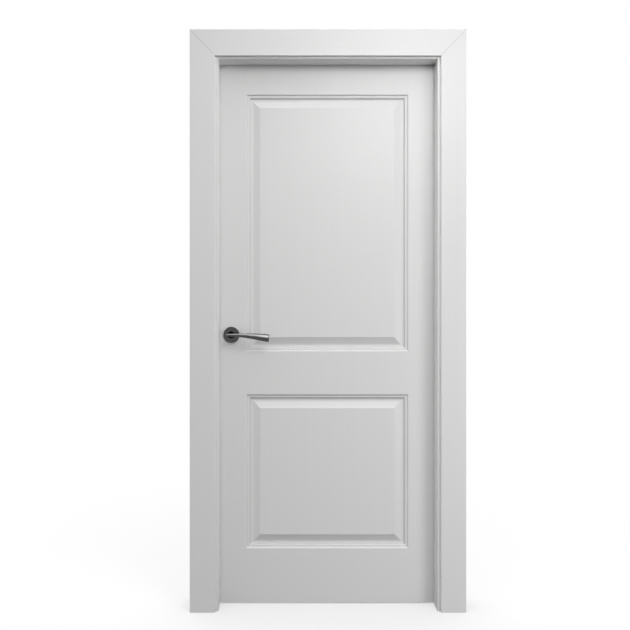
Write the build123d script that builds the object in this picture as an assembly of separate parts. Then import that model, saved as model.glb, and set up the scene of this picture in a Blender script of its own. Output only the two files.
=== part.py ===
from build123d import *
import os
from math import cos, hypot, radians, sin, sqrt, tan

# Interior door: a two-panel moulded leaf on three lift-off hinges, in a rebated timber frame with
# mitred flat casings on both sides, and a sprung lever handle on round roses.
# Millimetres, +Z up, floor at Z 0. The front is -Y and the leaf swings towards +Y.
# The origin is on the wall side of the hinge jamb, at its foot, in the middle of its depth.

# Leaf
leaf_width = 825.0
leaf_height = 2030.0
leaf_thickness = 35.0
skin_thickness = 3.5
leaf_arris = 1.5
frame_timber_width = 40.0

# Running gaps round the leaf
floor_gap = 5.0
hinge_gap = 5.0
latch_gap = 6.5
head_gap = 5.0
stop_gap = 5.0

# Door frame and casings
jamb_depth = 95.0
jamb_wall = 18.0
stop_lip = 17.0
jamb_arris = 3.0
front_side_casing_width = 92.0
front_head_casing_width = 97.0
back_casing_width = 90.0
casing_thickness = 10.0
casing_arris = 2.0
casing_mitre_ease = 0.6
front_side_reveal = 11.0
front_head_reveal = 7.5
back_reveal = 10.0

# Panel layout, measured over the mouldings
stile_width = 106.0
top_rail_width = 118.5
lock_rail_width = 158.5
bottom_rail_width = 202.0
lower_panel_height = 582.0

# Moulding round each panel, from its outer edge in to the raised field
moulding_width = 53.5
moulding_depth = 10.8
ovolo_width = 6.2
ovolo_depth = 4.7
bead_width = 4.4
inner_ovolo_width = 6.5
cove_radius = 21.0
bevel_angle = 19.5
shoulder_width = 0.8
shoulder_depth = 1.2
field_depth = 0.5

# Lift-off hinges
hinge_height = 100.0
hinge_plate_width = 27.0
hinge_plate_thickness = 2.5
hinge_plate_corner = 6.0
knuckle_radius = 7.0
knuckle_chamfer = 1.0
knuckle_gap = 0.4
pin_radius = 4.0
pin_length = 38.0
pin_clearance = 0.05
pin_end_room = 1.0
pin_stand_off = 8.5
hinge_from_top = 200.0
hinge_from_bottom = 220.0

# Mortise lock and strike
lock_backset = 53.0
lock_axis_height = 1006.0
faceplate_width = 20.0
faceplate_height = 235.0
faceplate_thickness = 3.0
faceplate_below_axis = 95.0
lock_case_depth = 80.0
lock_case_height = 165.0
lock_case_thickness = 15.0
lock_case_clearance = 0.4
lock_block_width = 60.0
lock_block_height = 300.0
latch_width = 12.0
latch_height = 26.0
latch_length = 40.0
latch_bevel = 8.0
latch_above_axis = 62.0
latch_clearance = 0.2
strike_width = 24.0
strike_height = 150.0
strike_thickness = 2.0
strike_pocket_depth = 12.0
strike_hole_margin = 2.0

# Lever handles
spindle_width = 8.0
spindle_clearance = 1.0
spindle_seat = 26.0
spindle_end_room = 2.0
rose_radius = 30.0
rose_thickness = 8.0
rose_edge = 2.5
rose_collar_radius = 14.0
rose_collar_height = 2.0
neck_radius = 9.0
neck_clearance = 0.05
neck_start = 1.0
neck_into_grip = 2.5
neck_end_bevel = 2.5
skin_bore_radius = 12.0
grip_clearance = 40.0
grip_back_bevel = 2.5
grip_top_slope = 55.0
grip_face_slope = 33.0
grip_end_slant = 5.0

# Grip stations from the tail to the end, along the lever from the spindle's line, with the heights there
# of the top edge, the front ridge and the lower edge, and the fall of the top face to its shoulder
grip_stations = (-20.0, 0.0, 47.0, 94.0, 143.5)
grip_tops = (3.5, 5.0, 6.0, 5.5, 2.5)
grip_top_falls = (0.3, 0.4, 0.8, 1.8, 4.0)
grip_ridges = (0.5, 0.5, -0.7, -5.0, -10.0)
grip_bottoms = (-3.5, -5.5, -9.5, -17.5, -25.5)

# Worked-out places, with the middle of the doorway at X 0
rebate_half = (leaf_width + hinge_gap + latch_gap) / 2
rebate_top = floor_gap + leaf_height + head_gap
jamb_front = -jamb_depth / 2
jamb_back = jamb_depth / 2
leaf_back = jamb_back
leaf_front = leaf_back - leaf_thickness
leaf_middle = (leaf_front + leaf_back) / 2
stop_back = leaf_front - stop_gap
hinge_edge = rebate_half - hinge_gap
latch_edge = hinge_edge - leaf_width
leaf_bottom = floor_gap
leaf_top = floor_gap + leaf_height
pin_x = rebate_half - hinge_gap / 2
pin_y = leaf_back + pin_stand_off
handle_x = latch_edge + lock_backset
handle_z = leaf_bottom + lock_axis_height
origin_shift = Pos(-(rebate_half + jamb_wall), 0, 0)


def block(x_span, y_span, z_span):
    """A box between two limits on each axis."""
    size = [high - low for low, high in (x_span, y_span, z_span)]
    middle = [(high + low) / 2 for low, high in (x_span, y_span, z_span)]
    return Pos(*middle) * Box(*size)


def y_rod(radius, x, z, y_span):
    """A round bar along Y."""
    low, high = y_span
    return Pos(x, (low + high) / 2, z) * Rot(90, 0, 0) * Cylinder(radius, high - low)


def z_rod(radius, x, y, z_span):
    """A round bar along Z."""
    low, high = z_span
    return Pos(x, y, (low + high) / 2) * Cylinder(radius, high - low)


def mitred_surround(side_section, head_section, inner, outer):
    """Right upright, left upright and head, mitred at the top corners.

    Each section's X is the distance outwards from the rebate. Inner and outer are the limits there,
    each given for the uprights and for the head.
    """
    side_inner, head_inner = inner
    side_outer, head_outer = outer
    upright_plane = Plane(origin=(rebate_half, 0, 0), x_dir=(1, 0, 0), z_dir=(0, 0, 1))
    upright = extrude(upright_plane * side_section, rebate_top + head_outer)
    upright_trim = Polygon(
        (rebate_half + side_inner, 0),
        (rebate_half + side_outer, 0),
        (rebate_half + side_outer, rebate_top + head_outer),
        (rebate_half + side_inner, rebate_top + head_inner),
        align=None,
    )
    right = upright & extrude(Plane.XZ * upright_trim, leaf_width, both=True)
    left = mirror(right, about=Plane.YZ)
    head_plane = Plane(origin=(0, 0, rebate_top), x_dir=(0, 0, 1), z_dir=(-1, 0, 0))
    head = extrude(head_plane * head_section, rebate_half + side_outer, both=True)
    head_trim = Polygon(
        (-rebate_half - side_inner, rebate_top + head_inner),
        (rebate_half + side_inner, rebate_top + head_inner),
        (rebate_half + side_outer, rebate_top + head_outer),
        (-rebate_half - side_outer, rebate_top + head_outer),
        align=None,
    )
    head = head & extrude(Plane.XZ * head_trim, leaf_width, both=True)
    return right, left, head


def jamb_section():
    """Rebated frame section: a wall-side board with the door stop worked in one piece."""
    outline = Polygon(
        (-stop_lip, jamb_front),
        (jamb_wall, jamb_front),
        (jamb_wall, jamb_back),
        (0, jamb_back),
        (0, stop_back),
        (-stop_lip, stop_back),
        align=None,
    )
    nose = outline.vertices().group_by(Axis.X)[0]
    back = outline.vertices().sort_by_distance((0, jamb_back))[0]
    return fillet([*nose, back], jamb_arris)


def casing_section(inner, width, wall_face, room_face):
    """Flat board with its two room-side edges rounded."""
    low, high = sorted((wall_face, room_face))
    outline = Pos(inner + width / 2, (low + high) / 2) * Rectangle(width, high - low)
    room_side = 0 if room_face < wall_face else -1
    room_corners = outline.vertices().group_by(Axis.Y)[room_side]
    return fillet(room_corners, casing_arris)


def mitre_groove(inner, outer, room_face):
    """Fine V cut along the right-hand mitre of a casing's room face, where the two boards' ends are eased."""
    diamond = Rot(0, 0, 45) * Rectangle(casing_mitre_ease * sqrt(2), casing_mitre_ease * sqrt(2))
    corner = (rebate_half + inner[0], room_face, rebate_top + inner[1])
    side_run = outer[0] - inner[0]
    head_run = outer[1] - inner[1]
    along_mitre = Plane(origin=corner, x_dir=(0, 1, 0), z_dir=(side_run, 0, head_run))
    return extrude(along_mitre * diamond, hypot(side_run, head_run))


def moulding_section():
    """Section of the moulded skin across a panel's edge.

    X runs in from the outer edge of the moulding and Y runs into the leaf. Two ovolo steps go down
    to a wide cove, which turns up into the bevel, and a small shoulder ends at the raised field.
    The core side, never seen, follows the same corners in straight lines.
    """
    slope = radians(bevel_angle)
    bevel_top = field_depth + shoulder_depth
    bevel_inner = moulding_width - shoulder_width
    bevel_low = moulding_depth - cove_radius * (1 - cos(slope))
    bevel_outer = bevel_inner - (bevel_low - bevel_top) / tan(slope)
    cove_middle = bevel_outer - cove_radius * sin(slope)
    bead_end = ovolo_width + bead_width
    cove_start = bead_end + inner_ovolo_width
    cove_reach = cove_middle - cove_start
    cove_start_depth = moulding_depth - cove_radius + sqrt(cove_radius**2 - cove_reach**2)
    face_side = [
        TangentArc((0, 0), (ovolo_width, ovolo_depth), tangent=(1, 0)),
        Line((ovolo_width, ovolo_depth), (bead_end, ovolo_depth)),
        TangentArc((bead_end, ovolo_depth), (cove_start, cove_start_depth), tangent=(1, 0)),
        ThreePointArc(
            (cove_start, cove_start_depth), (cove_middle, moulding_depth), (bevel_outer, bevel_low)
        ),
        Line((bevel_outer, bevel_low), (bevel_inner, bevel_top)),
        Line((bevel_inner, bevel_top), (moulding_width, field_depth)),
    ]
    corners = [
        (0, 0),
        (ovolo_width, ovolo_depth),
        (bead_end, ovolo_depth),
        (cove_start, cove_start_depth),
        (cove_middle, moulding_depth),
        (bevel_outer, bevel_low),
        (bevel_inner, bevel_top),
        (moulding_width, field_depth),
    ]
    core_side = Polyline(*[(x, depth + skin_thickness) for x, depth in corners])
    ends = [
        Line((0, 0), (0, skin_thickness)),
        Line((moulding_width, field_depth), (moulding_width, field_depth + skin_thickness)),
    ]
    return make_face([*face_side, *core_side.edges(), *ends])


def panel_relief(width, height):
    """One panel of a skin, centred on the origin: a mitred moulding round a raised field."""
    section = moulding_section()
    reach = leaf_thickness
    field = block(
        (-width / 2 + moulding_width, width / 2 - moulding_width),
        (field_depth, field_depth + skin_thickness),
        (-height / 2 + moulding_width, height / 2 - moulding_width),
    )
    relief = field
    for span, offset, turns in ((width, height / 2, (0, 180)), (height, width / 2, (90, 270))):
        start = Plane(origin=(span / 2, 0, -offset), x_dir=(0, 0, 1), z_dir=(-1, 0, 0))
        mitres = Polygon(
            (-span / 2, -offset),
            (span / 2, -offset),
            (span / 2 - moulding_width, -offset + moulding_width),
            (-span / 2 + moulding_width, -offset + moulding_width),
            align=None,
        )
        side = extrude(start * section, span) & extrude(Plane.XZ * mitres, reach, both=True)
        for turn in turns:
            relief += Rot(0, turn, 0) * side
    return relief


def front_skin_sheet():
    """Front skin before any cutting: a flat surround with the two panels pressed into it."""
    panel_width = leaf_width - 2 * stile_width
    panel_x = (hinge_edge + latch_edge) / 2
    lower_base = leaf_bottom + bottom_rail_width
    upper_top = leaf_top - top_rail_width
    upper_height = upper_top - lower_base - lower_panel_height - lock_rail_width
    skin = block((latch_edge, hinge_edge), (leaf_front, leaf_front + skin_thickness), (leaf_bottom, leaf_top))
    skin = chamfer(skin.edges().group_by(Axis.Y)[0], leaf_arris)
    for height, centre in (
        (lower_panel_height, lower_base + lower_panel_height / 2),
        (upper_height, upper_top - upper_height / 2),
    ):
        window = (
            (panel_x - panel_width / 2, panel_x + panel_width / 2),
            (leaf_front, leaf_front + skin_thickness),
            (centre - height / 2, centre + height / 2),
        )
        skin -= block(*window)
        skin += Pos(panel_x, leaf_front, centre) * panel_relief(panel_width, height)
    return skin


def plate(x_span, z_middle):
    """Hinge plate let into an edge, flush with the back, with its two inner corners rounded."""
    outline = Rectangle(hinge_plate_width, hinge_height)
    inner_corners = outline.vertices().filter_by(lambda v: v.X < 0)
    outline = fillet(inner_corners, hinge_plate_corner)
    low, high = x_span
    seat = Plane(origin=(low, leaf_back - hinge_plate_width / 2, z_middle), x_dir=(0, 1, 0), z_dir=(1, 0, 0))
    return extrude(seat * outline, high - low)


def knuckle(x_span, z_span, outer_z):
    """Round knuckle on the pin's line, bevelled at its outer end, with a tongue to its plate."""
    low, high = z_span
    barrel = z_rod(knuckle_radius, pin_x, pin_y, z_span)
    outer_edge = barrel.edges().filter_by(GeomType.CIRCLE).sort_by_distance((pin_x, pin_y, outer_z))[0]
    barrel = chamfer(outer_edge, knuckle_chamfer)
    tongue = block(x_span, (leaf_back, pin_y), (low + knuckle_chamfer, high - knuckle_chamfer))
    return barrel + (tongue - z_rod(knuckle_radius - knuckle_chamfer, pin_x, pin_y, z_span))


def hinge_halves(z_middle):
    """Frame half with the fixed pin, leaf half with the bored knuckle, and the two plate seats."""
    frame_span = (rebate_half, rebate_half + hinge_plate_thickness)
    leaf_span = (hinge_edge - hinge_plate_thickness, hinge_edge)
    frame_seat = plate(frame_span, z_middle)
    leaf_seat = plate(leaf_span, z_middle)
    lower = (z_middle - hinge_height / 2, z_middle - knuckle_gap / 2)
    upper = (z_middle + knuckle_gap / 2, z_middle + hinge_height / 2)
    pin_top = lower[1] + pin_length
    pin = z_rod(pin_radius, pin_x, pin_y, (lower[0] + knuckle_chamfer, pin_top))
    bore = z_rod(pin_radius + pin_clearance, pin_x, pin_y, (upper[0], pin_top + pin_end_room))
    frame_half = frame_seat + knuckle(frame_span, lower, lower[0]) + pin
    leaf_half = leaf_seat + knuckle(leaf_span, upper, upper[1]) - bore
    return frame_half, leaf_half, frame_seat, leaf_seat


def lock_pieces():
    """Mortise lock with its faceplate, its withdrawn latch bolt, and the room the lock needs."""
    plate_bottom = handle_z - faceplate_below_axis
    plate_z = (plate_bottom, plate_bottom + faceplate_height)
    plate_middle = plate_bottom + faceplate_height / 2
    half_plate = faceplate_width / 2
    half_case = lock_case_thickness / 2
    case_z = (plate_middle - lock_case_height / 2, plate_middle + lock_case_height / 2)
    faceplate = block(
        (latch_edge, latch_edge + faceplate_thickness),
        (leaf_middle - half_plate, leaf_middle + half_plate),
        plate_z,
    )
    case = block(
        (latch_edge + faceplate_thickness, latch_edge + lock_case_depth),
        (leaf_middle - half_case, leaf_middle + half_case),
        case_z,
    )
    latch_z = handle_z + latch_above_axis
    half_latch = latch_width / 2
    latch_span = (
        (latch_edge, latch_edge + latch_length),
        (leaf_middle - half_latch, leaf_middle + half_latch),
        (latch_z - latch_height / 2, latch_z + latch_height / 2),
    )
    latch = block(*latch_span)
    nose_place = (latch_edge, leaf_middle - half_latch, latch_z)
    nose = latch.edges().filter_by(Axis.Z).sort_by_distance(nose_place)[0]
    latch = chamfer(nose, latch_bevel)
    latch_room = block(
        (latch_edge, latch_edge + latch_length),
        (leaf_middle - half_latch - latch_clearance, leaf_middle + half_latch + latch_clearance),
        (latch_z - latch_height / 2 - latch_clearance, latch_z + latch_height / 2 + latch_clearance),
    )
    spindle_room_radius = spindle_width * sqrt(2) / 2 + spindle_clearance
    spindle_room = y_rod(spindle_room_radius, handle_x, handle_z, (leaf_front, leaf_back))
    lock = faceplate + case - latch_room - spindle_room
    case_room = block(
        (latch_edge, latch_edge + lock_case_depth + lock_case_clearance),
        (leaf_middle - half_case - lock_case_clearance, leaf_middle + half_case + lock_case_clearance),
        (case_z[0] - lock_case_clearance, case_z[1] + lock_case_clearance),
    )
    return lock, latch, faceplate + case_room


def strike_pieces():
    """Strike plate let into the latch jamb opposite the latch, and the seat and pocket behind it."""
    latch_z = handle_z + latch_above_axis
    half_width = strike_width / 2
    hole_half_width = latch_width / 2 + strike_hole_margin
    hole_half_height = latch_height / 2 + strike_hole_margin
    seat = block(
        (-rebate_half - strike_thickness, -rebate_half),
        (leaf_middle - half_width, leaf_middle + half_width),
        (latch_z - strike_height / 2, latch_z + strike_height / 2),
    )
    pocket = block(
        (-rebate_half - strike_thickness - strike_pocket_depth, -rebate_half),
        (leaf_middle - hole_half_width, leaf_middle + hole_half_width),
        (latch_z - hole_half_height, latch_z + hole_half_height),
    )
    return seat - pocket, seat + pocket


def rose():
    """Round cover with a raised collar, turned about the spindle's line, seated on the leaf's front."""
    bore = neck_radius + neck_clearance
    collar_top = rose_thickness + rose_collar_height
    outline = Polygon(
        (bore, 0),
        (rose_radius, 0),
        (rose_radius, rose_thickness),
        (rose_collar_radius, rose_thickness),
        (rose_collar_radius, collar_top),
        (bore, collar_top),
        align=None,
    )
    rim = outline.vertices().sort_by_distance((rose_radius, rose_thickness))[0]
    outline = chamfer(rim, rose_edge)
    disc = revolve(Plane(origin=(0, 0, 0), x_dir=(1, 0, 0), z_dir=(0, 0, 1)) * outline, Axis.Y)
    return Pos(handle_x, leaf_front, handle_z) * mirror(disc, about=Plane.XZ)


def grip_section(x, top, top_fall, ridge, bottom, lean):
    """Six-sided section across the grip, with depths measured out from the grip's back.

    The top face falls to a shoulder, the upper face runs on to the front ridge and the lower face
    turns back under it, and two bevels lead to the narrow back.
    """
    shoulder = top - top_fall
    shoulder_depth = grip_back_bevel + top_fall * tan(radians(grip_top_slope))
    ridge_depth = shoulder_depth + (shoulder - ridge) * tan(radians(grip_face_slope))
    corners = [
        (grip_back_bevel, top),
        (shoulder_depth, shoulder),
        (ridge_depth, ridge),
        (grip_back_bevel, bottom),
        (0, bottom + grip_back_bevel),
        (0, top - grip_back_bevel),
    ]
    outline = Polygon(*[(-grip_clearance - depth, height) for depth, height in corners], align=None)
    along = (cos(radians(lean)), 0, -sin(radians(lean)))
    station = Plane(origin=(x, 0, 0), x_dir=(0, 1, 0), z_dir=along)
    return station * outline


def lever():
    """Front lever: a round neck on the spindle and a grip that widens and droops to its slanted end."""
    rows = zip(grip_stations, grip_tops, grip_top_falls, grip_ridges, grip_bottoms)
    leans = [0] * (len(grip_stations) - 1) + [grip_end_slant]
    grip = loft([grip_section(*row, lean) for row, lean in zip(rows, leans)])
    neck = y_rod(neck_radius, 0, 0, (-grip_clearance - neck_into_grip, -neck_start))
    front_edge = neck.edges().filter_by(GeomType.CIRCLE).sort_by(Axis.Y)[0]
    neck = chamfer(front_edge, neck_end_bevel)
    half = spindle_width / 2
    socket = block((-half, half), (-neck_start - spindle_seat, -neck_start), (-half, half))
    return Pos(handle_x, leaf_front, handle_z) * (grip + neck - socket)


def spindle():
    """Square bar through the lock, seated in both levers."""
    half = spindle_width / 2
    reach = neck_start + spindle_seat - spindle_end_room
    return block(
        (handle_x - half, handle_x + half),
        (leaf_front - reach, leaf_back + reach),
        (handle_z - half, handle_z + half),
    )


def to_back(piece):
    """The same piece on the leaf's other face."""
    return mirror(piece, about=Plane.XZ.offset(-leaf_middle))


pieces = {}

# Hinges
hinge_heights = {
    "upper": leaf_top - hinge_from_top,
    "middle": (leaf_top - hinge_from_top + leaf_bottom + hinge_from_bottom) / 2,
    "lower": leaf_bottom + hinge_from_bottom,
}
frame_seats = []
leaf_seats = []
for place, height in hinge_heights.items():
    frame_half, leaf_half, frame_seat, leaf_seat = hinge_halves(height)
    pieces[place + "_hinge_frame_half"] = frame_half
    pieces[place + "_hinge_leaf_half"] = leaf_half
    frame_seats.append(frame_seat)
    leaf_seats.append(leaf_seat)

# Frame and casings
pieces["strike_plate"], strike_room = strike_pieces()
jamb_inner = (-stop_lip, -stop_lip)
jamb_outer = (jamb_wall, jamb_wall)
jamb_pieces = mitred_surround(jamb_section(), jamb_section(), jamb_inner, jamb_outer)
hinge_jamb, latch_jamb, head_jamb = jamb_pieces
pieces["hinge_jamb"] = hinge_jamb - frame_seats
pieces["latch_jamb"] = latch_jamb - strike_room
pieces["head_jamb"] = head_jamb
front_inner = (front_side_reveal - stop_lip, front_head_reveal - stop_lip)
front_widths = (front_side_casing_width, front_head_casing_width)
back_inner = (back_reveal, back_reveal)
back_widths = (back_casing_width, back_casing_width)
for face, inner, widths, wall_face, room_face in (
    ("front", front_inner, front_widths, jamb_front, jamb_front - casing_thickness),
    ("back", back_inner, back_widths, jamb_back, jamb_back + casing_thickness),
):
    side_section = casing_section(inner[0], widths[0], wall_face, room_face)
    head_section = casing_section(inner[1], widths[1], wall_face, room_face)
    outer = (inner[0] + widths[0], inner[1] + widths[1])
    hinge_side, latch_side, head = mitred_surround(side_section, head_section, inner, outer)
    hinge_groove = mitre_groove(inner, outer, room_face)
    latch_groove = mirror(hinge_groove, about=Plane.YZ)
    pieces[face + "_casing_hinge_side"] = hinge_side - hinge_groove
    pieces[face + "_casing_latch_side"] = latch_side - latch_groove
    pieces[face + "_casing_head"] = head - [hinge_groove, latch_groove]

# Leaf
pieces["mortise_lock"], pieces["latch_bolt"], lock_room = lock_pieces()
handle_bore = y_rod(skin_bore_radius, handle_x, handle_z, (leaf_front, leaf_back))
front_skin = front_skin_sheet() - handle_bore
pieces["front_skin"] = front_skin
pieces["back_skin"] = to_back(front_skin) - leaf_seats
core_y = (leaf_front + skin_thickness, leaf_back - skin_thickness)
full_height = (leaf_bottom, leaf_top)
inner_x = (latch_edge + frame_timber_width, hinge_edge - frame_timber_width)
block_z = (handle_z - lock_block_height / 2, handle_z + lock_block_height / 2)
pieces["hinge_stile"] = block((inner_x[1], hinge_edge), core_y, full_height) - leaf_seats
pieces["latch_stile"] = block((latch_edge, inner_x[0]), core_y, full_height) - lock_room
lock_block_x = (inner_x[0], inner_x[0] + lock_block_width)
pieces["lock_block"] = block(lock_block_x, core_y, block_z) - lock_room - handle_bore
pieces["top_rail"] = block(inner_x, core_y, (leaf_top - frame_timber_width, leaf_top))
pieces["bottom_rail"] = block(inner_x, core_y, (leaf_bottom, leaf_bottom + frame_timber_width))

# Handle
pieces["front_rose"] = rose()
pieces["back_rose"] = to_back(rose())
pieces["front_lever"] = lever()
pieces["back_lever"] = to_back(lever())
pieces["spindle"] = spindle()

os.makedirs("parts", exist_ok=True)
for node, shape in pieces.items():
    export_step(origin_shift * shape, f"parts/{node}.step")
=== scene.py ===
"""White two-panel interior door in its frame: finishes, small fittings, floor, light and view."""
from math import radians

import bpy
import numpy as np
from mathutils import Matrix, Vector


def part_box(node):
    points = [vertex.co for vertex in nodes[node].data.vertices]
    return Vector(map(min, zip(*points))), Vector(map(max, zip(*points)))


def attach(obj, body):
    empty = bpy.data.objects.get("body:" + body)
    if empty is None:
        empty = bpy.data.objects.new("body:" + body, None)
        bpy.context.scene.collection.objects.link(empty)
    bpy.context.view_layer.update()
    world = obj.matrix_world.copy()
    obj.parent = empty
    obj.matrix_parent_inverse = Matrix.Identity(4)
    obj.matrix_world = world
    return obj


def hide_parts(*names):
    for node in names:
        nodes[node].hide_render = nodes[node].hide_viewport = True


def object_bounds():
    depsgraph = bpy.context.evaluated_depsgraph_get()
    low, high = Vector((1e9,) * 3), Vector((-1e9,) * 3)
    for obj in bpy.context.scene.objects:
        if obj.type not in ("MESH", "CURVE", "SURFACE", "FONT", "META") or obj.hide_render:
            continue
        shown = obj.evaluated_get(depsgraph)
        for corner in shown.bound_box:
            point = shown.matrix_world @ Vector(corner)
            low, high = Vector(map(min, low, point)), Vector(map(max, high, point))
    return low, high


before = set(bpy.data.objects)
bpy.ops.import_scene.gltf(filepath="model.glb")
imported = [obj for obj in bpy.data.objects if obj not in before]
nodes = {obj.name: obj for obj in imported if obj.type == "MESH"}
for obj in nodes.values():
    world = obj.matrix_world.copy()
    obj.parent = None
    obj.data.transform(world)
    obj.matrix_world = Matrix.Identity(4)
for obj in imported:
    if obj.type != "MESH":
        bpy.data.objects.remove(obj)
cad_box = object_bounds()

# Door frame
# Two jambs and a head of dense fibre board, each with its door stop worked in one piece, mitred at the
# top corners and sprayed with satin white lacquer. The lacquer lets a little of the grain under it show.
LACQUER_WHITE = (0.80, 0.80, 0.797, 1.0)
LACQUER_ROUGHNESS = 0.42
LACQUER_ROUGHNESS_SPREAD = 0.05
GRAIN_TONE = 0.035
GRAIN_RELIEF = 0.0002
LACQUER_RELIEF_STRENGTH = 0.12
FIBRE_WIDTH = 0.0011
FIBRE_STRETCH = 45.0
FIBRE_DETAIL = 2.0
FIBRE_SHARE = 0.9
STREAK_WIDTH = 0.007
STREAK_STRETCH = 60.0
STREAK_DETAIL = 3.0
NOISE_ROUGHNESS = 0.55
NO_TURN = (0.0, 0.0, 0.0)
QUARTER_TURN = (0.0, radians(90.0), 0.0)


def add_nodes(tree):
    """Short calls for one node tree: make a node, link two sockets, join two values by a math node."""
    make = tree.nodes.new
    link = tree.links.new

    def math(operation, first, second):
        node = make("ShaderNodeMath")
        node.operation = operation
        for socket, value in zip(node.inputs, (first, second)):
            if isinstance(value, float):
                socket.default_value = value
            else:
                link(value, socket)
        return node.outputs[0]

    return make, link, math


def new_group(name, inputs, outputs):
    """Empty shader node group with the named sockets, given as (name, kind) pairs."""
    group = bpy.data.node_groups.new(name, "ShaderNodeTree")
    for socket, kind in inputs:
        group.interface.new_socket(socket, in_out="INPUT", socket_type=kind)
    for socket, kind in outputs:
        group.interface.new_socket(socket, in_out="OUTPUT", socket_type=kind)
    entry = group.nodes.new("NodeGroupInput")
    leave = group.nodes.new("NodeGroupOutput")
    return group, entry, leave


def stretched_noise(tree, vector, scale, detail):
    """Noise whose cells are scaled apart on each axis; returns its value, from 0 to 1."""
    make, link, _ = add_nodes(tree)
    spaced = make("ShaderNodeVectorMath")
    spaced.operation = "MULTIPLY"
    spaced.inputs[1].default_value = scale
    link(vector, spaced.inputs[0])
    noise = make("ShaderNodeTexNoise")
    noise.inputs["Scale"].default_value = 1.0
    noise.inputs["Detail"].default_value = detail
    noise.inputs["Roughness"].default_value = NOISE_ROUGHNESS
    link(spaced.outputs["Vector"], noise.inputs["Vector"])
    return noise.outputs["Fac"]


def grain_group():
    """Straight grain along Z: Tone is streaks about 1, Height fibres and streaks, Sheen fibres alone."""
    value = "NodeSocketFloat"
    group, entry, leave = new_group(
        "straight_grain",
        (("Vector", "NodeSocketVector"), ("Depth", value)),
        (("Tone", value), ("Height", value), ("Sheen", value)),
    )
    _, link, math = add_nodes(group)
    vector = entry.outputs["Vector"]
    fibre_scale = (1 / FIBRE_WIDTH, 1 / FIBRE_WIDTH, 1 / (FIBRE_WIDTH * FIBRE_STRETCH))
    streak_scale = (1 / STREAK_WIDTH, 1 / STREAK_WIDTH, 1 / (STREAK_WIDTH * STREAK_STRETCH))
    fibres = stretched_noise(group, vector, fibre_scale, FIBRE_DETAIL)
    streaks = stretched_noise(group, vector, streak_scale, STREAK_DETAIL)
    swing = math("MULTIPLY", math("SUBTRACT", streaks, 0.5), entry.outputs["Depth"])
    link(math("ADD", swing, 1.0), leave.inputs["Tone"])
    fibre_height = math("MULTIPLY", fibres, FIBRE_SHARE)
    streak_height = math("MULTIPLY", streaks, 1.0 - FIBRE_SHARE)
    link(math("ADD", fibre_height, streak_height), leave.inputs["Height"])
    link(fibres, leave.inputs["Sheen"])
    return group


straight_grain = grain_group()


def place_group(material, group, turn=NO_TURN):
    """Puts a node group into a material, fed with Object coordinates turned about X, Y and Z."""
    make, link, _ = add_nodes(material.node_tree)
    place = make("ShaderNodeTexCoord")
    turned = make("ShaderNodeMapping")
    turned.inputs["Rotation"].default_value = turn
    placed = make("ShaderNodeGroup")
    placed.node_tree = group
    link(place.outputs["Object"], turned.inputs["Vector"])
    link(turned.outputs["Vector"], placed.inputs["Vector"])
    return placed


def shade_colour(material, colour, tone):
    """Base colour of a material: one colour, made lighter and darker by a tone that varies about 1."""
    make, link, _ = add_nodes(material.node_tree)
    tint = make("ShaderNodeMix")
    tint.data_type = "RGBA"
    tint.blend_type = "MULTIPLY"
    tint.inputs["Factor"].default_value = 1.0
    tint.inputs["A"].default_value = colour
    link(tone, tint.inputs["B"])
    link(tint.outputs["Result"], material.node_tree.nodes["Principled BSDF"].inputs["Base Color"])


def spread_roughness(material, value, low, high):
    """Roughness of a material: a value from 0 to 1 carried over to a range from low to high."""
    make, link, _ = add_nodes(material.node_tree)
    span = make("ShaderNodeMapRange")
    span.inputs["To Min"].default_value = low
    span.inputs["To Max"].default_value = high
    link(value, span.inputs["Value"])
    link(span.outputs["Result"], material.node_tree.nodes["Principled BSDF"].inputs["Roughness"])


def fine_relief(material, height, strength, depth):
    """Bump of a material from a height that varies from 0 to 1 over the given depth in metres."""
    make, link, _ = add_nodes(material.node_tree)
    relief = make("ShaderNodeBump")
    relief.inputs["Strength"].default_value = strength
    relief.inputs["Distance"].default_value = depth
    link(height, relief.inputs["Height"])
    link(relief.outputs["Normal"], material.node_tree.nodes["Principled BSDF"].inputs["Normal"])


def new_material(name):
    """Material with nodes, of which only the Principled shader and the output are there yet."""
    material = bpy.data.materials.new(name)
    material.use_nodes = True
    return material


def white_lacquer(name, grain_turn, lines=None):
    """Satin white lacquer over straight grain along Z, turned by grain_turn.

    A group of painted shade lines, where one is given, greys the lacquer by its Shade.
    """
    material = new_material(name)
    grain = place_group(material, straight_grain, grain_turn)
    grain.inputs["Depth"].default_value = GRAIN_TONE
    tone = grain.outputs["Tone"]
    if lines:
        shade = place_group(material, lines).outputs["Shade"]
        _, _, math = add_nodes(material.node_tree)
        tone = math("MULTIPLY", tone, shade)
    shade_colour(material, LACQUER_WHITE, tone)
    low = LACQUER_ROUGHNESS - LACQUER_ROUGHNESS_SPREAD
    high = LACQUER_ROUGHNESS + LACQUER_ROUGHNESS_SPREAD
    spread_roughness(material, grain.outputs["Sheen"], low, high)
    fine_relief(material, grain.outputs["Height"], LACQUER_RELIEF_STRENGTH, GRAIN_RELIEF)
    return material


def finish_nodes(material, *names):
    """Puts one finish on each named node."""
    for name in names:
        nodes[name].material_slots[0].material = material


upright_lacquer = white_lacquer("upright_lacquer", NO_TURN)
level_lacquer = white_lacquer("level_lacquer", QUARTER_TURN)
finish_nodes(upright_lacquer, "hinge_jamb", "latch_jamb")
finish_nodes(level_lacquer, "head_jamb")

# Casings
# Flat boards with rounded edges that cover the joint between frame and wall, mitred at the top corners
# and glued and pinned to the jamb's edge. They are lacquered as the frame is, with the grain along each
# board, and painted shade darkens the lacquer along the line of each mitre.
# Painted shade: the lacquer is darkened along the line of each mitre joint, where its groove lies.
JOINT_HALF_WIDTH = 0.0006
MITRE_PAINTED_SHADE = 0.45

middle_x = (cad_box[0][0] + cad_box[1][0]) / 2


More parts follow.
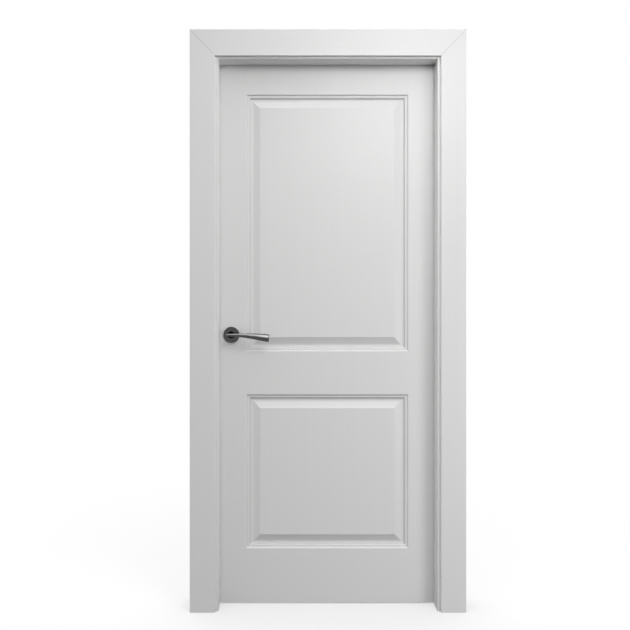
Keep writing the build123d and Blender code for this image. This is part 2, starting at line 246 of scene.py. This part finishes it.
def painted_shade_line(tree, distance, half_width, depth):
    """Painted shade by the distance from a line: 1 past half_width, falling to 1 - depth at half of that.
    """
    make, link, _ = add_nodes(tree)
    fade = make("ShaderNodeMapRange")
    fade.interpolation_type = "SMOOTHSTEP"
    fade.inputs["From Min"].default_value = half_width / 2
    fade.inputs["From Max"].default_value = half_width
    fade.inputs["To Min"].default_value = 1.0 - depth
    fade.inputs["To Max"].default_value = 1.0
    link(distance, fade.inputs["Value"])
    return fade.outputs["Result"]


def painted_mitre_shade_group(side):
    """Painted shade along the two mitre joints of one casing: 1 away from them, less where the joint's line
    is near.

    The distance to the line through a corner is the cross product of the way from the corner with the
    line's direction. Both corners count as one, as the distance from the middle has no sign.
    """
    low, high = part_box(side + "_casing_hinge_side")
    head_low, head_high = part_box(side + "_casing_head")
    run = Vector((high.x - low.x, head_high.z - head_low.z)).normalized()
    group, entry, leave = new_group(
        side + "_painted_mitre_shade", (("Vector", "NodeSocketVector"),), (("Shade", "NodeSocketFloat"),)
    )
    make, link, math = add_nodes(group)
    parts = make("ShaderNodeSeparateXYZ")
    link(entry.outputs["Vector"], parts.inputs["Vector"])
    from_middle = math("ABSOLUTE", math("SUBTRACT", parts.outputs["X"], float(middle_x)), 0.0)
    across = math("SUBTRACT", from_middle, float(low.x - middle_x))
    up = math("SUBTRACT", parts.outputs["Z"], float(head_low.z))
    off_line = math("SUBTRACT", math("MULTIPLY", across, run.y), math("MULTIPLY", up, run.x))
    distance = math("ABSOLUTE", off_line, 0.0)
    link(painted_shade_line(group, distance, JOINT_HALF_WIDTH, MITRE_PAINTED_SHADE), leave.inputs["Shade"])
    return group


for side in ("front", "back"):
    # Each casing's lacquer carries the painted shade along its mitre joints.
    painted_mitre_shade = painted_mitre_shade_group(side)
    for grain, turn, boards in (
        ("upright", NO_TURN, ("hinge_side", "latch_side")),
        ("level", QUARTER_TURN, ("head",)),
    ):
        lacquer = white_lacquer(f"{side}_{grain}_casing_lacquer", turn, painted_mitre_shade)
        finish_nodes(lacquer, *(f"{side}_casing_{board}" for board in boards))

# Leaf
# Two pressed fibre board skins over a timber edge frame, sprayed white all round. The grain pressed into
# the skins runs upright over panels and rails alike, and painted shade darkens the lacquer in the two
# narrow quirks of each panel's moulding.
STILE_WIDTH = 0.106
TOP_RAIL_WIDTH = 0.1185
LOCK_RAIL_WIDTH = 0.1585
BOTTOM_RAIL_WIDTH = 0.202
LOWER_PANEL_HEIGHT = 0.582
# Painted shade: the lacquer is darkened along the two quirks of each panel's moulding.
OUTER_QUIRK = 0.0052
OUTER_QUIRK_PAINTED_SHADE = 0.13
INNER_QUIRK = 0.0161
INNER_QUIRK_PAINTED_SHADE = 0.27
QUIRK_HALF_WIDTH = 0.0022

leaf_low, leaf_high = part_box("front_skin")


def painted_quirk_shade_group():
    """Painted shade in the quirks round both panels: 1 away from them, less near a quirk's line.

    The way in from a panel's edge is the smaller of the ways in from its nearer side and its nearer end,
    and the larger of both panels' values counts. A quirk runs where the way in is OUTER_QUIRK or
    INNER_QUIRK.
    """
    lower_bottom = leaf_low.z + BOTTOM_RAIL_WIDTH
    lower_top = lower_bottom + LOWER_PANEL_HEIGHT
    upper_bottom = lower_top + LOCK_RAIL_WIDTH
    upper_top = leaf_high.z - TOP_RAIL_WIDTH
    group, entry, leave = new_group(
        "moulding_quirk_painted_shade", (("Vector", "NodeSocketVector"),), (("Shade", "NodeSocketFloat"),)
    )
    make, link, math = add_nodes(group)
    parts = make("ShaderNodeSeparateXYZ")
    link(entry.outputs["Vector"], parts.inputs["Vector"])

    def way_in(axis, low, high):
        from_middle = math("ABSOLUTE", math("SUBTRACT", parts.outputs[axis], (low + high) / 2), 0.0)
        return math("SUBTRACT", (high - low) / 2, from_middle)

    from_sides = way_in("X", leaf_low.x + STILE_WIDTH, leaf_high.x - STILE_WIDTH)
    in_lower = math("MINIMUM", from_sides, way_in("Z", lower_bottom, lower_top))
    in_upper = math("MINIMUM", from_sides, way_in("Z", upper_bottom, upper_top))
    in_panel = math("MAXIMUM", in_lower, in_upper)
    outer, inner = (
        painted_shade_line(group, math("ABSOLUTE", math("SUBTRACT", in_panel, quirk), 0.0), QUIRK_HALF_WIDTH, shade)
        for quirk, shade in ((OUTER_QUIRK, OUTER_QUIRK_PAINTED_SHADE), (INNER_QUIRK, INNER_QUIRK_PAINTED_SHADE))
    )
    link(math("MULTIPLY", outer, inner), leave.inputs["Shade"])
    return group


# The skins carry the painted shade of the quirks in their lacquer.
finish_nodes(white_lacquer("skin_lacquer", NO_TURN, painted_quirk_shade_group()), "front_skin", "back_skin")
finish_nodes(upright_lacquer, "hinge_stile", "latch_stile")
finish_nodes(level_lacquer, "top_rail", "bottom_rail")

# Lock block
# A block of raw softwood glued inside the leaf behind the latch stile, for the lock case to be let into.
SOFTWOOD = (0.56, 0.40, 0.24, 1.0)
SOFTWOOD_TONE = 0.9
SOFTWOOD_SMOOTHEST = 0.65
SOFTWOOD_ROUGHEST = 0.85
SOFTWOOD_RELIEF_STRENGTH = 0.3


def raw_softwood():
    """Planed softwood: the same straight grain with strong streaks, dull, with open fibres."""
    material = new_material("raw_softwood")
    grain = place_group(material, straight_grain)
    grain.inputs["Depth"].default_value = SOFTWOOD_TONE
    shade_colour(material, SOFTWOOD, grain.outputs["Tone"])
    spread_roughness(material, grain.outputs["Sheen"], SOFTWOOD_SMOOTHEST, SOFTWOOD_ROUGHEST)
    fine_relief(material, grain.outputs["Height"], SOFTWOOD_RELIEF_STRENGTH, GRAIN_RELIEF)
    return material


finish_nodes(raw_softwood(), "lock_block")

# Hinges
# Three lift-off hinges of satin nickel plated steel. Each plate is let in flush with its edge and held by
# four raised countersunk screws with cross slots.
HINGE_NICKEL = (0.55, 0.545, 0.53, 1.0)
BRUSH_WIDTH = 0.00035
BRUSH_LENGTH = 0.016
BRUSH_DETAIL = 3.0
HAZE_SIZE = 0.02
HAZE_DETAIL = 2.0
HAZE_SPAN = 0.2
HINGE_LEVELS = ("upper", "middle", "lower")


def plating_group():
    """Plated metal's surface: Lines is noise drawn out along Z as brush marks, Tone a haze about 1."""
    value = "NodeSocketFloat"
    group, entry, leave = new_group(
        "brushed_plating", (("Vector", "NodeSocketVector"),), (("Lines", value), ("Tone", value))
    )
    _, link, math = add_nodes(group)
    vector = entry.outputs["Vector"]
    brush_scale = (1 / BRUSH_WIDTH, 1 / BRUSH_WIDTH, 1 / BRUSH_LENGTH)
    haze_scale = (1 / HAZE_SIZE, 1 / HAZE_SIZE, 1 / HAZE_SIZE)
    lines = stretched_noise(group, vector, brush_scale, BRUSH_DETAIL)
    haze = stretched_noise(group, vector, haze_scale, HAZE_DETAIL)
    link(lines, leave.inputs["Lines"])
    link(math("ADD", math("MULTIPLY", haze, HAZE_SPAN), 1.0 - HAZE_SPAN / 2), leave.inputs["Tone"])
    return group


brushed_plating = plating_group()


def plated_metal(name, colour, roughness, spread, relief):
    """Plated metal with fine brush lines that vary its roughness and relief, and a haze in its tone."""
    material = new_material(name)
    material.node_tree.nodes["Principled BSDF"].inputs["Metallic"].default_value = 1.0
    plating = place_group(material, brushed_plating)
    shade_colour(material, colour, plating.outputs["Tone"])
    spread_roughness(material, plating.outputs["Lines"], roughness - spread, roughness + spread)
    fine_relief(material, plating.outputs["Lines"], relief, BRUSH_WIDTH)
    return material


hinge_nickel = plated_metal("hinge_nickel", HINGE_NICKEL, roughness=0.30, spread=0.07, relief=0.05)
for level in HINGE_LEVELS:
    finish_nodes(hinge_nickel, level + "_hinge_frame_half", level + "_hinge_leaf_half")

SCREW_RADIUS = 0.0040
SCREW_RISE = 0.0007
SCREW_SINK = 0.0008
SLOT_LENGTH = 0.0046
SLOT_WIDTH = 0.0011
SLOT_DEPTH = 0.0012
SCREW_CORNERS = 48
SCREW_TURN = radians(37.0)
HEAD_SHARES = (1.0, 1.0, 0.94, 0.8)
RECESS_SHARES = (1.08, 1.0, 0.85)
RISE_SHARES = np.array([0.25, 0.6, 0.85, 1.0, 0.9])
SHARP_TURN = radians(38.0)


def cross_outline(angles):
    """Distance to the edge of a cross with straight arms: to an arm's end near its line, else its side."""
    from_arm = np.abs((angles + np.pi / 4) % (np.pi / 2) - np.pi / 4)
    to_end = SLOT_LENGTH / 2 / np.cos(from_arm)
    to_side = SLOT_WIDTH / 2 / np.maximum(np.sin(from_arm), 1e-9)
    return np.minimum(to_end, to_side)


def ring_faces(rings, around):
    """Four-cornered faces between neighbouring rings of a tube, each ring with the same count of points."""
    ring = np.arange(rings - 1)[:, None] * around
    step = np.arange(around)[None, :]
    ahead = (step + 1) % around
    corners = (ring + step, ring + ahead, ring + around + ahead, ring + around + step)
    return np.stack(corners, axis=-1).reshape(-1, 4)


def new_piece(name, points, faces, material):
    """Object of one mesh, at the origin, smooth over gentle turns and sharp over steep ones."""
    mesh = bpy.data.meshes.new(name)
    mesh.from_pydata(points.tolist(), [], faces)
    mesh.shade_smooth()
    mesh.set_sharp_from_angle(angle=SHARP_TURN)
    mesh.materials.append(material)
    piece = bpy.data.objects.new(name, mesh)
    bpy.context.scene.collection.objects.link(piece)
    return piece


def screw_heads(name, centres, across, along, slot_edge, radius, material):
    """Round screw heads of one form at several centres, on a seat that across and along lie in.

    Each head is rings of points: up from under the seat, in over a low dome to the recess, whose edge lies
    at distance slot_edge(angle) from the axis, and down its walls. The rings lie at shares of the radius,
    of the recess's edge and of the dome's rise. Two flat faces close the head. Each next head is turned a
    little further, as hand-driven screws are.
    """
    corner = np.arctan2(SLOT_WIDTH, SLOT_LENGTH)
    arms = np.arange(4)[:, None] * np.pi / 2 + np.array([-corner, corner, np.pi / 4])
    even = np.arange(SCREW_CORNERS) * 2 * np.pi / SCREW_CORNERS
    angles = np.unique(np.round(np.concatenate((even, arms.ravel() % (2 * np.pi))), 6))
    round_edge = np.full_like(angles, radius)
    reach = np.vstack((np.outer(HEAD_SHARES, round_edge), np.outer(RECESS_SHARES, slot_edge(angles))))
    level = np.concatenate(([-SCREW_SINK], RISE_SHARES * SCREW_RISE, [SCREW_RISE - SLOT_DEPTH]))
    centres = np.asarray(centres, dtype=float)
    turns = np.arange(len(centres)) * SCREW_TURN
    turned = angles[None, :] + turns[:, None]
    across = np.asarray(across, dtype=float)
    along = np.asarray(along, dtype=float)
    outwards = np.cross(across, along)
    flat = np.cos(turned)[..., None] * across + np.sin(turned)[..., None] * along
    points = centres[:, None, None, :] + reach[None, :, :, None] * flat[:, None, :, :]
    points = points + level[None, :, None, None] * outwards
    rings, around = reach.shape
    one = ring_faces(rings, around)
    start = np.arange(len(centres)) * rings * around
    walls = (one[None, :, :] + start[:, None, None]).reshape(-1, 4)
    under = np.arange(around)[::-1] + start[:, None]
    floor = np.arange(around) + (rings - 1) * around + start[:, None]
    faces = walls.tolist() + under.tolist() + floor.tolist()
    return new_piece(name, points.reshape(-1, 3), faces, material)


Y_AXIS = (0.0, 1.0, 0.0)
Z_AXIS = (0.0, 0.0, 1.0)
PLATE_SCREWS = np.array([(-0.009, 0.037), (-0.018, 0.013), (-0.009, -0.013), (-0.018, -0.037)])

leaf_front = leaf_low.y
leaf_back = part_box("back_skin")[1].y
for level in HINGE_LEVELS:
    frame_half = level + "_hinge_frame_half"
    leaf_half = level + "_hinge_leaf_half"
    low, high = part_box(frame_half)
    pin_x = (low.x + high.x) / 2
    frame_plate_x = 2 * pin_x - leaf_high.x
    screw_y = leaf_back + PLATE_SCREWS[:, 0]
    screw_z = (low.z + high.z) / 2 + PLATE_SCREWS[:, 1]
    for half, body, plate_x, across, along in (
        (frame_half, "frame", frame_plate_x, Z_AXIS, Y_AXIS),
        (leaf_half, "leaf", leaf_high.x, Y_AXIS, Z_AXIS),
    ):
        centres = np.column_stack((np.full(len(screw_y), plate_x), screw_y, screw_z))
        screws = screw_heads(
            half + "_screws", centres, across, along, cross_outline, SCREW_RADIUS, hinge_nickel
        )
        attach(screws, body)

# Lock
# A mortise lock let into the latch edge, with a brushed steel faceplate and latch bolt, and a strike plate
# opposite it in the jamb. Faceplate and strike are each held by two cross slot screws.
LOCK_STEEL = (0.56, 0.56, 0.56, 1.0)
SCREW_FROM_END = 0.0095

lock_steel = plated_metal("lock_steel", LOCK_STEEL, roughness=0.32, spread=0.07, relief=0.05)
finish_nodes(lock_steel, "mortise_lock", "latch_bolt", "strike_plate", "spindle")
leaf_middle = (leaf_front + leaf_back) / 2
for node, body, side, across, along in (
    ("mortise_lock", "leaf", 0, Z_AXIS, Y_AXIS),
    ("strike_plate", "frame", 1, Y_AXIS, Z_AXIS),
):
    low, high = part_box(node)
    plate_x = (low, high)[side].x
    centres = [
        (plate_x, leaf_middle, low.z + SCREW_FROM_END),
        (plate_x, leaf_middle, high.z - SCREW_FROM_END),
    ]
    screws = screw_heads(node + "_screws", centres, across, along, cross_outline, SCREW_RADIUS, lock_steel)
    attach(screws, body)

# Roses
# Round covers turned from zinc, with a rounded rim and a raised collar that the lever's neck turns in. The
# collar's mouth is bored out to a deep cone. They clip over the fixing screws, so none show, and they are
# polished and plated in dark chrome.
DARK_CHROME = (0.068, 0.068, 0.070, 1.0)
ROSE_RADIUS = 0.030
ROSE_THICKNESS = 0.008
ROSE_RIM = 0.0025
ROSE_DISH = 0.0004
COLLAR_RADIUS = 0.014
COLLAR_HEIGHT = 0.002
COLLAR_RIM = 0.0007
MOUTH_RADIUS = 0.0125
MOUTH_FLOOR = 0.0015
ROSE_BORE = 0.00905
ROSE_SIDES = 128

dark_chrome = plated_metal("dark_chrome", DARK_CHROME, roughness=0.17, spread=0.03, relief=0.0)
spindle_low, spindle_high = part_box("spindle")
axis_x = (spindle_low.x + spindle_high.x) / 2
axis_z = (spindle_low.z + spindle_high.z) / 2
FACES_OF_LEAF = {"front": (leaf_front, -1.0), "back": (leaf_back, 1.0)}


def quarter(radius, turn_from, turn_to, count=7):
    """Points of an arc about (0, 0) between two angles in degrees."""
    angle = np.radians(np.linspace(turn_from, turn_to, count))
    return radius * np.column_stack((np.cos(angle), np.sin(angle)))


def rose_outline():
    """Section of a rose as (distance from the axis, height off the leaf), once round without a repeat.

    Up the side and over the rounded rim, in across the face, which dips slightly to the collar, up and over
    the collar's rounded edge, and down the conical mouth to the bore.
    """
    top = ROSE_THICKNESS + COLLAR_HEIGHT
    rim = quarter(ROSE_RIM, 0, 90) + (ROSE_RADIUS - ROSE_RIM, ROSE_THICKNESS - ROSE_RIM)
    share = np.linspace(0.06, 0.97, 12)
    across = ROSE_RADIUS - ROSE_RIM - share * (ROSE_RADIUS - ROSE_RIM - COLLAR_RADIUS)
    face = np.column_stack((across, ROSE_THICKNESS - ROSE_DISH * np.sin(share * np.pi / 2) ** 2))
    collar = quarter(COLLAR_RIM, 0, 90, 5) + (COLLAR_RADIUS - COLLAR_RIM, top - COLLAR_RIM)
    mouth = quarter(COLLAR_RIM, 90, 180, 5)[1:] + (MOUTH_RADIUS + COLLAR_RIM, top - COLLAR_RIM)
    cone = np.column_stack((
        np.linspace(MOUTH_RADIUS, ROSE_BORE, 9), np.linspace(top - COLLAR_RIM, MOUTH_FLOOR, 9),
    ))[1:]
    foot = [(ROSE_RADIUS, 0.0), (ROSE_RADIUS, 0.0004), (ROSE_RADIUS, ROSE_THICKNESS - 1.15 * ROSE_RIM)]
    collar_foot = [(COLLAR_RADIUS, ROSE_THICKNESS - ROSE_DISH), (COLLAR_RADIUS, top - 1.5 * COLLAR_RIM)]
    return np.vstack((foot, rim, face, collar_foot, collar, mouth, cone, [(ROSE_BORE, 0.0)]))


def turned_points(outline, sides, face_y, outwards):
    """Rings of points: each outline point carried round the spindle's line, off one face of the leaf."""
    angle = np.arange(sides) * 2 * np.pi / sides
    reach = outline[:, 0][:, None]
    x = axis_x + reach * np.cos(angle)
    z = axis_z + reach * np.sin(angle)
    y = np.broadcast_to(face_y + outwards * outline[:, 1][:, None], x.shape)
    return np.stack((x, y, z), axis=-1)


for side, (face_y, outwards) in FACES_OF_LEAF.items():
    rings = turned_points(rose_outline(), ROSE_SIDES, face_y, outwards)
    closed = np.concatenate((rings, rings[:1]))
    faces = ring_faces(len(closed), ROSE_SIDES) % (len(rings) * ROSE_SIDES)
    if outwards > 0:
        faces = faces[:, ::-1]
    rose = new_piece(side + "_rose_turned", rings.reshape(-1, 3), faces.tolist(), dark_chrome)
    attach(rose, "leaf")
    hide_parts(side + "_rose")

# Levers
# Cast zinc levers, polished and plated in dark chrome. A round neck sits on the square spindle and carries
# a slim six-sided grip, which widens and droops to a slanted end. A grub screw under the neck holds it.
GRIP_STATIONS = np.array([-20.0, 0.0, 47.0, 94.0, 143.5]) / 1000
GRIP_TOPS = np.array([3.5, 5.0, 6.0, 5.5, 2.5]) / 1000
GRIP_TOP_FALLS = np.array([0.3, 0.4, 0.8, 1.8, 4.0]) / 1000
GRIP_RIDGES = np.array([0.5, 0.5, -0.7, -5.0, -10.0]) / 1000
GRIP_BOTTOMS = np.array([-3.5, -5.5, -9.5, -17.5, -25.5]) / 1000
GRIP_CLEARANCE = 0.040
GRIP_BACK_BEVEL = 0.0025
GRIP_TOP_SLOPE = radians(55.0)
GRIP_FACE_SLOPE = radians(33.0)
GRIP_END_SLANT = radians(5.0)
GRIP_EDGE = 0.0009
GRIP_EDGE_LIMIT = 0.42
GRIP_END_ROUND = 0.0016
NECK_RADIUS = 0.0088
NECK_TAPER = 0.0036
NECK_TAPER_FROM = 0.25
NECK_TAPER_OVER = 0.6
NECK_START = 0.001
NECK_END = 0.0425
NECK_END_ROUND = 0.002
NECK_SHANK = NECK_END - NECK_END_ROUND - NECK_START
NECK_SIDES = 96


def through_stations(values, along):
    """The polynomial that passes through the value at each grip station."""
    return np.polyval(np.polyfit(GRIP_STATIONS, values, len(GRIP_STATIONS) - 1), along)


def grip_corners(along):
    """The six corners of the grip's section at each place along it, as (depth from its back, height)."""
    top, fall, ridge, bottom = (
        through_stations(values, along) for values in (GRIP_TOPS, GRIP_TOP_FALLS, GRIP_RIDGES, GRIP_BOTTOMS)
    )
    bevel = np.full_like(along, GRIP_BACK_BEVEL)
    back = np.zeros_like(along)
    shoulder = top - fall
    shoulder_depth = bevel + fall * np.tan(GRIP_TOP_SLOPE)
    ridge_depth = shoulder_depth + (shoulder - ridge) * np.tan(GRIP_FACE_SLOPE)
    depths = np.stack((bevel, shoulder_depth, ridge_depth, bevel, back, back), axis=-1)
    heights = np.stack((top, shoulder, ridge, bottom, bottom + bevel, top - bevel), axis=-1)
    return np.stack((depths, heights), axis=-1)


def rounded_sections(corners):
    """Closed sections with each corner rounded by a parabola between points a little along its sides."""
    before = np.roll(corners, 1, axis=1)
    after = np.roll(corners, -1, axis=1)
    to_before = np.linalg.norm(before - corners, axis=-1, keepdims=True)
    to_after = np.linalg.norm(after - corners, axis=-1, keepdims=True)
    start = corners + (before - corners) * np.minimum(GRIP_EDGE / to_before, GRIP_EDGE_LIMIT)
    end = corners + (after - corners) * np.minimum(GRIP_EDGE / to_after, GRIP_EDGE_LIMIT)
    part = np.linspace(0.0, 1.0, 5)[:, None]
    curve = (
        (1 - part) ** 2 * start[:, :, None]
        + 2 * part * (1 - part) * corners[:, :, None]
        + part**2 * end[:, :, None]
    )
    next_start = np.roll(start, -1, axis=1)
    on_side = np.array([0.1, 0.5, 0.9])[:, None]
    side = end[:, :, None] + on_side * (next_start - end)[:, :, None]
    return np.concatenate((curve, side), axis=2).reshape(len(corners), -1, 2)


def grip_points(face_y, outwards):
    """Rings of points along the grip: rounded sections, drawn in at both ends by a quarter round.

    Towards the end the sections lean, so that the grip ends on a slant.
    """
    first = GRIP_STATIONS[0]
    last = GRIP_STATIONS[-1]
    angle = np.linspace(0.0, np.pi / 2, 7)
    ease = GRIP_END_ROUND * (1 - np.cos(angle))
    inset = GRIP_END_ROUND * (1 - np.sin(angle))
    middle = np.linspace(first + GRIP_END_ROUND, last - GRIP_END_ROUND, 73)[1:-1]
    along = np.concatenate((first + ease, middle, (last - ease)[::-1]))
    drawn_in = np.concatenate((inset, np.zeros_like(middle), inset[::-1]))
    sections = rounded_sections(grip_corners(along))
    centre = (sections.max(axis=1) + sections.min(axis=1)) / 2
    half = (sections.max(axis=1) - sections.min(axis=1)) / 2
    shrink = 1 - drawn_in[:, None] / half
    sections = centre[:, None] + (sections - centre[:, None]) * shrink[:, None]
    lean_share = np.clip((along - GRIP_STATIONS[-2]) / (last - GRIP_STATIONS[-2]), 0.0, 1.0)
    lean = (GRIP_END_SLANT * lean_share**2)[:, None]
    depth = sections[..., 0]
    height = sections[..., 1]
    x = axis_x + along[:, None] + height * np.sin(lean)
    y = face_y + outwards * (GRIP_CLEARANCE + depth)
    z = axis_z + height * np.cos(lean)
    return np.stack((x, y, z), axis=-1)


def neck_radius_at(share):
    """Radius of the neck at a share of its length from the rose: full at first, then easing down."""
    eased = np.clip((share - NECK_TAPER_FROM) / NECK_TAPER_OVER, 0.0, 1.0)
    return NECK_RADIUS - NECK_TAPER * eased**2 * (3 - 2 * eased)


def neck_outline():
    """Section of the neck as (distance from the axis, height off the leaf): a smooth taper, a round end."""
    straight = np.linspace(NECK_START, NECK_END - NECK_END_ROUND, 24)
    share = (straight - NECK_START) / NECK_SHANK
    shank = np.column_stack((neck_radius_at(share), straight))
    end_radius = NECK_RADIUS - NECK_TAPER
    end = quarter(NECK_END_ROUND, 0, 90, 9)[1:] + (end_radius - NECK_END_ROUND, NECK_END - NECK_END_ROUND)
    return np.vstack((shank, end))


def tube_piece(name, rings, inside_out, material):
    """Piece from rings of points, closed by one flat face at each end, and turned if it is inside out."""
    count, around = rings.shape[:2]
    walls = ring_faces(count, around)
    first = np.arange(around)[::-1]
    last = np.arange(around) + (count - 1) * around
    if inside_out:
        walls, first, last = walls[:, ::-1], first[::-1], last[::-1]
    faces = walls.tolist() + [first.tolist(), last.tolist()]
    return new_piece(name, rings.reshape(-1, 3), faces, material)


def fuse(piece, other):
    """Makes one closed skin of two overlapping pieces and removes the second."""
    joined = piece.modifiers.new("joined", "BOOLEAN")
    joined.operation = "UNION"
    joined.solver = "EXACT"
    joined.object = other
    whole = piece.evaluated_get(bpy.context.evaluated_depsgraph_get())
    mesh = bpy.data.meshes.new_from_object(whole)
    piece.modifiers.clear()
    piece.data = mesh
    bpy.data.objects.remove(other)
    mesh.shade_smooth()
    mesh.set_sharp_from_angle(angle=SHARP_TURN)


GRUB_RADIUS = 0.0021
GRUB_SOCKET = 0.0011
GRUB_PLACE = 0.024
X_AXIS = (1.0, 0.0, 0.0)


def hexagon_outline(angles):
    """Distance to the edge of a hexagon whose flats are GRUB_SOCKET from its middle."""
    from_flat = (angles + np.pi / 6) % (np.pi / 3) - np.pi / 6
    return GRUB_SOCKET / np.cos(from_flat)


for side, (face_y, outwards) in FACES_OF_LEAF.items():
    front = outwards < 0
    lever = tube_piece(side + "_lever_cast", grip_points(face_y, outwards), not front, dark_chrome)
    neck = tube_piece(
        side + "_neck", turned_points(neck_outline(), NECK_SIDES, face_y, outwards), not front, dark_chrome
    )
    fuse(lever, neck)
    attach(lever, "handle")
    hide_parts(side + "_lever")
    grub_share = (GRUB_PLACE - NECK_START) / NECK_SHANK
    grub_centre = (axis_x, face_y + outwards * GRUB_PLACE, axis_z - neck_radius_at(grub_share))
    grub_name = side + "_lever_grub_screw"
    grub = screw_heads(
        grub_name, [grub_centre], Y_AXIS, X_AXIS, hexagon_outline, GRUB_RADIUS, dark_chrome
    )
    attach(grub, "handle")

# Floor
# A plain pale studio floor under the door. It takes the door's soft shadow close by, and further out it
# fades to the white of the background. Light that bounces off the door finds it dark.
FLOOR_REACH = 12.0
FLOOR_PAINT = 0.35
FLOOR_GLOW = 0.52
SHADOW_NEAR = 0.7
SHADOW_FAR = 2.2

floor_mesh = bpy.data.meshes.new("studio_floor")
floor_corners = np.array([(-1, -1), (1, -1), (1, 1), (-1, 1)]) * FLOOR_REACH + (middle_x, 0.0)
floor_mesh.from_pydata(np.column_stack((floor_corners, np.zeros(4))).tolist(), [], [(0, 1, 2, 3)])
floor = bpy.data.objects.new("studio_floor", floor_mesh)
bpy.context.scene.collection.objects.link(floor)


def seen_rays(tree):
    """1 for rays from the camera, from reflections and through glass, 0 for scattered and shadow rays."""
    make, _, math = add_nodes(tree)
    rays = make("ShaderNodeLightPath").outputs
    reflected = math("MAXIMUM", rays["Is Glossy Ray"], rays["Is Transmission Ray"])
    return math("MAXIMUM", rays["Is Camera Ray"], reflected)


def studio_floor_paint():
    """Paint and glow that add up to white: near the door part of it is paint, which shadows darken."""
    material = new_material("studio_floor")
    tree = material.node_tree
    make, link, math = add_nodes(tree)
    surface = tree.nodes["Principled BSDF"]
    surface.inputs["Roughness"].default_value = 1.0
    surface.inputs["Specular IOR Level"].default_value = 0.0
    surface.inputs["Emission Color"].default_value = (1.0, 1.0, 1.0, 1.0)
    place = make("ShaderNodeTexCoord")
    centred = make("ShaderNodeMapping")
    centred.inputs["Location"].default_value = (-middle_x, 0.0, 0.0)
    distance = make("ShaderNodeVectorMath")
    distance.operation = "LENGTH"
    link(place.outputs["Object"], centred.inputs["Vector"])
    link(centred.outputs["Vector"], distance.inputs[0])
    seen = seen_rays(tree)
    for socket, near_value, far_value in (
        ("Base Color", FLOOR_PAINT, 0.0),
        ("Emission Strength", FLOOR_GLOW, 1.0),
    ):
        fade = make("ShaderNodeMapRange")
        fade.interpolation_type = "SMOOTHSTEP"
        fade.inputs["From Min"].default_value = SHADOW_NEAR
        fade.inputs["From Max"].default_value = SHADOW_FAR
        fade.inputs["To Min"].default_value = near_value
        fade.inputs["To Max"].default_value = far_value
        link(distance.outputs["Value"], fade.inputs["Value"])
        link(math("MULTIPLY", fade.outputs["Result"], seen), surface.inputs[socket])
    return material


floor_mesh.materials.append(studio_floor_paint())

# Light
# A surround that lights the door from overhead, the left and behind, and three soft lamps: one near in
# front, one high and one low at the right. Reflections show the surround as white, and over the door two
# strip lamps that give no other light.
SURROUND_OVERHEAD = 1.61
SURROUND_LEFT = 0.54
SURROUND_BACK = 0.6
DOOR_MIDDLE_HEIGHT = 1.05
STRIP_DEPTH = 0.4


def soft_lamp(name, place, width, height, watts):
    """Area lamp at place, measured from the floor below the door's middle, facing the door's middle."""
    lamp = bpy.data.lights.new(name, "AREA")
    lamp.shape = "RECTANGLE"
    lamp.size = width
    lamp.size_y = height
    lamp.energy = watts
    holder = bpy.data.objects.new(name, lamp)
    holder.location = (middle_x + place[0], place[1], place[2])
    towards = Vector((middle_x, 0.0, DOOR_MIDDLE_HEIGHT)) - holder.location
    holder.rotation_euler = towards.to_track_quat("-Z", "Y").to_euler()
    bpy.context.scene.collection.objects.link(holder)
    return holder


soft_lamp("near_front_lamp", (0.4, -1.3, 2.3), 0.6, 0.6, 7.65)
soft_lamp("high_right_lamp", (1.52, -1.81, 2.9), 1.2, 1.2, 5.0)
soft_lamp("low_right_lamp", (1.89, -2.25, 0.43), 1.2, 1.2, 22.6)
for name, place, width, watts in (
    ("long_strip", (-0.66, -1.47, 4.0), 1.1, 9.4),
    ("short_strip", (-0.22, -1.47, 3.98), 0.4, 5.0),
):
    strip = soft_lamp(name, place, width, STRIP_DEPTH, watts)
    strip.visible_diffuse = False

world = bpy.data.worlds.new("white_surround")
world.use_nodes = True
bpy.context.scene.world = world


def surround_light(tree):
    """Strength of the surround: white where it is seen, else growing upwards, leftwards and backwards."""
    make, link, math = add_nodes(tree)
    direction = make("ShaderNodeSeparateXYZ")
    link(make("ShaderNodeTexCoord").outputs["Generated"], direction.inputs["Vector"])
    overhead = math("MULTIPLY", math("MAXIMUM", direction.outputs["Z"], 0.0), SURROUND_OVERHEAD)
    left = math("MULTIPLY", math("MINIMUM", direction.outputs["X"], 0.0), -SURROUND_LEFT)
    back = math("MULTIPLY", math("MAXIMUM", direction.outputs["Y"], 0.0), SURROUND_BACK)
    strength = make("ShaderNodeMapRange")
    link(seen_rays(tree), strength.inputs["Value"])
    link(math("ADD", math("ADD", overhead, left), back), strength.inputs["To Min"])
    return strength.outputs["Result"]


surround = world.node_tree.nodes["Background"]
surround.inputs["Color"].default_value = (1.0, 1.0, 1.0, 1.0)
world.node_tree.links.new(surround_light(world.node_tree), surround.inputs["Strength"])

# View
# The photograph's view: level, a little left of the middle, at about half the door's height.
CAMERA_LENS = 35.0
CAMERA_SENSOR = 36.0
CAMERA_SHIFT = (0.0286, 0.0048)
CAMERA_LEFT = 0.113
CAMERA_DISTANCE = 2.232
CAMERA_HEIGHT = 1.074

camera_data = bpy.data.cameras.new("camera")
camera_data.lens = CAMERA_LENS
camera_data.sensor_width = CAMERA_SENSOR
camera_data.shift_x, camera_data.shift_y = CAMERA_SHIFT
camera = bpy.data.objects.new("camera", camera_data)
front_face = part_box("front_casing_head")[0].y
camera.location = (middle_x - CAMERA_LEFT, front_face - CAMERA_DISTANCE, CAMERA_HEIGHT)
camera.rotation_euler = (radians(90.0), 0.0, 0.0)
bpy.context.scene.collection.objects.link(camera)
bpy.context.scene.camera = camera
bpy.context.scene.view_settings.view_transform = "Standard"
